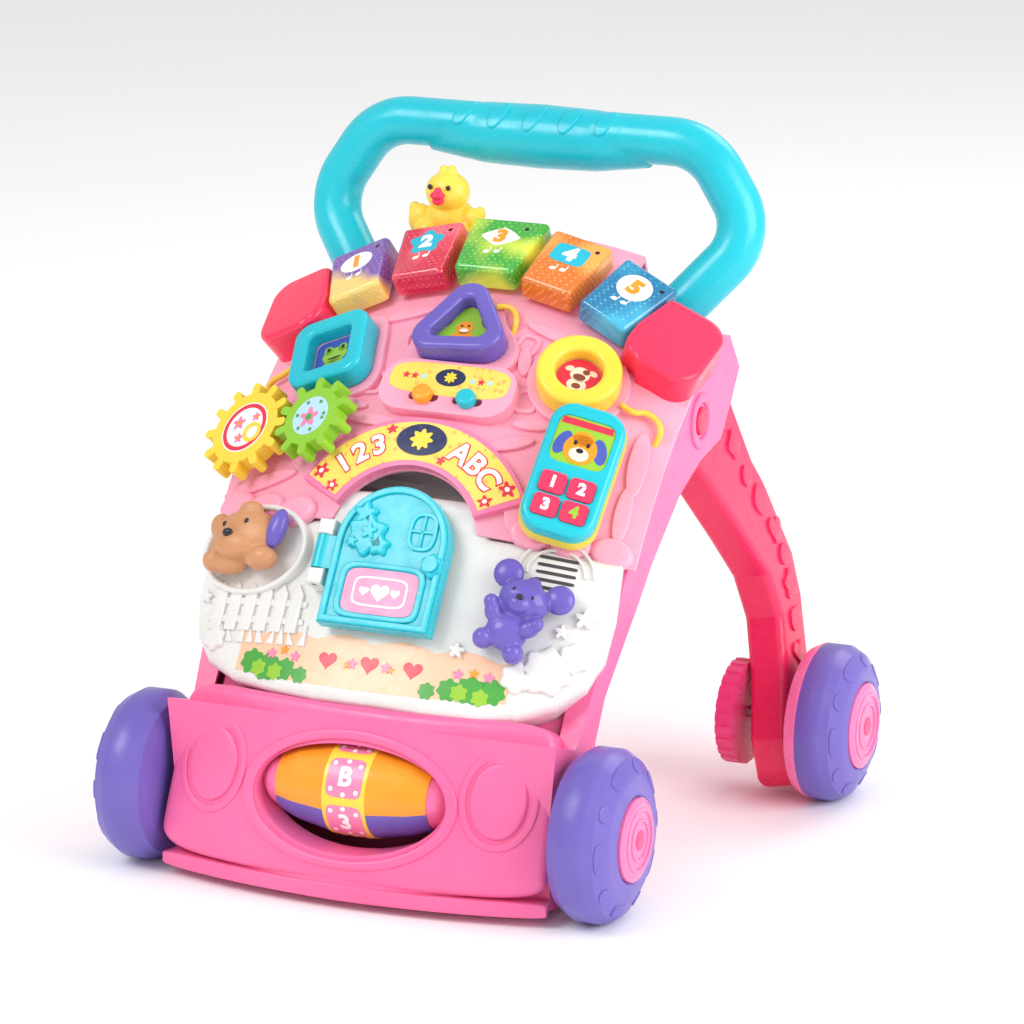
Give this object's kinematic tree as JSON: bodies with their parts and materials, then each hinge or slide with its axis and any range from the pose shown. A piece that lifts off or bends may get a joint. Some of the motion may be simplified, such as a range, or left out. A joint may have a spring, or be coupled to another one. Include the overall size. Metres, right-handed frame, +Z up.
{
  "type": "baby walker",
  "caption": "Push-along baby walker: two-shell frame with pushing handle, splayed rear legs on wheels, spinning front roller and a lift-off play panel with keys, gears, blocks, door and toy telephone.",
  "frame": {"origin": "middle of the footprint on the floor", "axes": "+Z up, front (roller side) towards -Y, +X to the right of somebody facing the front"},
  "size_m": [0.4576, 0.4056, 0.4663],
  "materials": {
    "pink_body": "glossy injection moulded",
    "pale_pink": "glossy injection moulded",
    "white_body": "glossy injection moulded",
    "cyan": "satin",
    "purple": "satin",
    "hot_pink": "satin",
    "red": "glossy",
    "yellow": "glossy",
    "green": "glossy",
    "orange": "glossy",
    "brown": "satin",
    "steel": "drawn",
    "spring_steel": "drawn",
    "clear_violet": "translucent",
    "clear_red": "translucent",
    "clear_green": "translucent",
    "clear_orange": "translucent",
    "clear_blue": "translucent",
    "board_green": "solder mask",
    "speaker_black": "moulded cone",
    "cord_yellow": "soft twisted cord"
  },
  "bodies": {
    "chassis": {"chassis_front": "pink_body", "chassis_back": "pink_body", "base_tray": "pink_body", "handle": "cyan", "stub_axles": "steel", "leg_outer_shells": "hot_pink", "leg_inner_shells": "hot_pink", "lock_spring_right": "spring_steel", "lock_spring_left": "spring_steel", "roller_axle": "steel"},
    "front_wheel_right": {"front_wheel_right": "purple", "front_hub_right": "pink_body"},
    "rear_wheel_right": {"rear_wheel_right": "purple", "rear_hub_right": "pink_body"},
    "speed_dial_right": {"speed_dial_right": "pink_body"},
    "leg_lock_button_right": {"leg_lock_button_right": "hot_pink"},
    "front_wheel_left": {"front_wheel_left": "purple", "front_hub_left": "pink_body"},
    "rear_wheel_left": {"rear_wheel_left": "purple", "rear_hub_left": "pink_body"},
    "speed_dial_left": {"speed_dial_left": "pink_body"},
    "leg_lock_button_left": {"leg_lock_button_left": "hot_pink"},
    "roller": {"roller_upper": "orange", "roller_lower": "purple", "roller_ends": "pink_body"},
    "panel": {"panel_lower_shell": "white_body", "panel_roof": "pale_pink", "panel_back": "pale_pink", "arch_plaque": "pink_body", "speaker": "speaker_black", "circuit_board": "board_green", "battery_door": "pale_pink", "panel_screws": "steel", "end_caps": "red", "chick": "yellow", "door_pin": "steel", "tether_ring": "cord_yellow", "tether_square": "cord_yellow", "tether_triangle": "cord_yellow"},
    "piano_key_1": {"piano_key_1": "clear_violet"},
    "piano_key_2": {"piano_key_2": "clear_red"},
    "piano_key_3": {"piano_key_3": "clear_green"},
    "piano_key_4": {"piano_key_4": "clear_orange"},
    "piano_key_5": {"piano_key_5": "clear_blue"},
    "block_square": {"block_square": "cyan"},
    "block_triangle": {"block_triangle": "purple"},
    "block_ring": {"block_ring": "yellow"},
    "gear_large": {"gear_large": "yellow"},
    "gear_small": {"gear_small": "green"},
    "slider_knob_left": {"slider_knob_left": "orange"},
    "slider_knob_right": {"slider_knob_right": "cyan"},
    "door": {"door": "cyan"},
    "dog": {"dog": "brown"},
    "mouse": {"mouse": "purple"},
    "phone": {"phone_back": "yellow", "phone_front": "cyan"},
    "phone_key_1": {"phone_key_1": "red"},
    "phone_key_2": {"phone_key_2": "red"},
    "phone_key_3": {"phone_key_3": "red"},
    "phone_key_4": {"phone_key_4": "red"}
  },
  "joints": [
    {"name": "front_wheel_right_spin", "type": "hinge", "parent": "chassis", "child": "front_wheel_right", "pos_m": [0.1597, -0.14685, 0.056], "axis": [1, 0, 0], "continuous": true},
    {"name": "rear_wheel_right_spin", "type": "hinge", "parent": "chassis", "child": "rear_wheel_right", "pos_m": [0.2032, 0.14965, 0.0532], "axis": [1, 0, 0], "continuous": true},
    {"name": "speed_dial_right_turn", "type": "hinge", "parent": "chassis", "child": "speed_dial_right", "pos_m": [0.138, 0.14965, 0.0532], "axis": [1, 0, 0], "range_deg": [0, 60]},
    {"name": "leg_lock_right_press", "type": "slide", "parent": "chassis", "child": "leg_lock_button_right", "axis": [-1, 0, 0], "range_m": [0, 0.006], "stiffness_N_per_m": 800, "deforming": ["lock_spring_right"]},
    {"name": "front_wheel_left_spin", "type": "hinge", "parent": "chassis", "child": "front_wheel_left", "pos_m": [-0.1597, -0.14685, 0.056], "axis": [1, 0, 0], "continuous": true},
    {"name": "rear_wheel_left_spin", "type": "hinge", "parent": "chassis", "child": "rear_wheel_left", "pos_m": [-0.2032, 0.14965, 0.0532], "axis": [1, 0, 0], "continuous": true},
    {"name": "speed_dial_left_turn", "type": "hinge", "parent": "chassis", "child": "speed_dial_left", "pos_m": [-0.138, 0.14965, 0.0532], "axis": [1, 0, 0], "range_deg": [0, 60]},
    {"name": "leg_lock_left_press", "type": "slide", "parent": "chassis", "child": "leg_lock_button_left", "axis": [1, 0, 0], "range_m": [0, 0.006], "stiffness_N_per_m": 800, "deforming": ["lock_spring_left"]},
    {"name": "roller_spin", "type": "hinge", "parent": "chassis", "child": "roller", "pos_m": [0, -0.16085, 0.07], "axis": [1, 0, 0], "continuous": true},
    {"name": "panel_lift_off", "type": "slide", "parent": "chassis", "child": "panel", "axis": [0, -0.7013, 0.7128], "range_m": [0, 0.04]},
    {"name": "piano_key_1_press", "type": "slide", "parent": "panel", "child": "piano_key_1", "axis": [0.3067, 0.4626, -0.8318], "range_m": [0, 0.003], "stiffness_N_per_m": 300},
    {"name": "piano_key_2_press", "type": "slide", "parent": "panel", "child": "piano_key_2", "axis": [0.1583, 0.4536, -0.877], "range_m": [0, 0.003], "stiffness_N_per_m": 300},
    {"name": "piano_key_3_press", "type": "slide", "parent": "panel", "child": "piano_key_3", "axis": [0, 0.4448, -0.8956], "range_m": [0, 0.003], "stiffness_N_per_m": 300},
    {"name": "piano_key_4_press", "type": "slide", "parent": "panel", "child": "piano_key_4", "axis": [-0.1583, 0.4536, -0.877], "range_m": [0, 0.003], "stiffness_N_per_m": 300},
    {"name": "piano_key_5_press", "type": "slide", "parent": "panel", "child": "piano_key_5", "axis": [-0.3067, 0.4626, -0.8318], "range_m": [0, 0.003], "stiffness_N_per_m": 300},
    {"name": "block_square_pull", "type": "slide", "parent": "panel", "child": "block_square", "axis": [-0.2867, -0.5969, 0.7494], "range_m": [0, 0.03]},
    {"name": "block_triangle_pull", "type": "slide", "parent": "panel", "child": "block_triangle", "axis": [0.0033, -0.5822, 0.813], "range_m": [0, 0.03]},
    {"name": "block_ring_pull", "type": "slide", "parent": "panel", "child": "block_ring", "axis": [0.28, -0.5946, 0.7537], "range_m": [0, 0.03]},
    {"name": "gear_large_spin", "type": "hinge", "parent": "panel", "child": "gear_large", "pos_m": [-0.13037, -0.0513, 0.26505], "axis": [-0.3267, -0.6852, 0.651], "continuous": true},
    {"name": "gear_small_spin", "type": "hinge", "parent": "panel", "child": "gear_small", "pos_m": [-0.07701, -0.06195, 0.28062], "axis": [-0.3267, -0.6852, 0.651], "continuous": true},
    {"name": "slider_knob_left_slide", "type": "slide", "parent": "panel", "child": "slider_knob_left", "axis": [0.9999, 0.0111, -0.0124], "range_m": [-0.007, 0.007]},
    {"name": "slider_knob_right_slide", "type": "slide", "parent": "panel", "child": "slider_knob_right", "axis": [0.9999, 0.0111, -0.0124], "range_m": [-0.007, 0.007]},
    {"name": "door_swing", "type": "hinge", "parent": "panel", "child": "door", "pos_m": [-0.046, -0.12353, 0.21236], "axis": [0, -0.5446, -0.8387], "range_deg": [0, 100]},
    {"name": "dog_slide", "type": "slide", "parent": "panel", "child": "dog", "axis": [0.9671, -0.1672, 0.1917], "range_m": [0, 0.007]},
    {"name": "mouse_slide", "type": "slide", "parent": "panel", "child": "mouse", "axis": [0.929, 0.0026, -0.3702], "range_m": [-0.008, 0.008]},
    {"name": "phone_lift", "type": "slide", "parent": "panel", "child": "phone", "axis": [0.3367, -0.7041, 0.6252], "range_m": [0, 0.04]},
    {"name": "phone_key_1_press", "type": "slide", "parent": "phone", "child": "phone_key_1", "axis": [-0.3367, 0.7041, -0.6252], "range_m": [0, 0.0012], "stiffness_N_per_m": 200},
    {"name": "phone_key_2_press", "type": "slide", "parent": "phone", "child": "phone_key_2", "axis": [-0.3367, 0.7041, -0.6252], "range_m": [0, 0.0012], "stiffness_N_per_m": 200},
    {"name": "phone_key_3_press", "type": "slide", "parent": "phone", "child": "phone_key_3", "axis": [-0.3367, 0.7041, -0.6252], "range_m": [0, 0.0012], "stiffness_N_per_m": 200},
    {"name": "phone_key_4_press", "type": "slide", "parent": "phone", "child": "phone_key_4", "axis": [-0.3367, 0.7041, -0.6252], "range_m": [0, 0.0012], "stiffness_N_per_m": 200}
  ],
  "couplings": [
    {"joint": "gear_small_spin", "follows": "gear_large_spin", "ratio": -1.2}
  ]
}
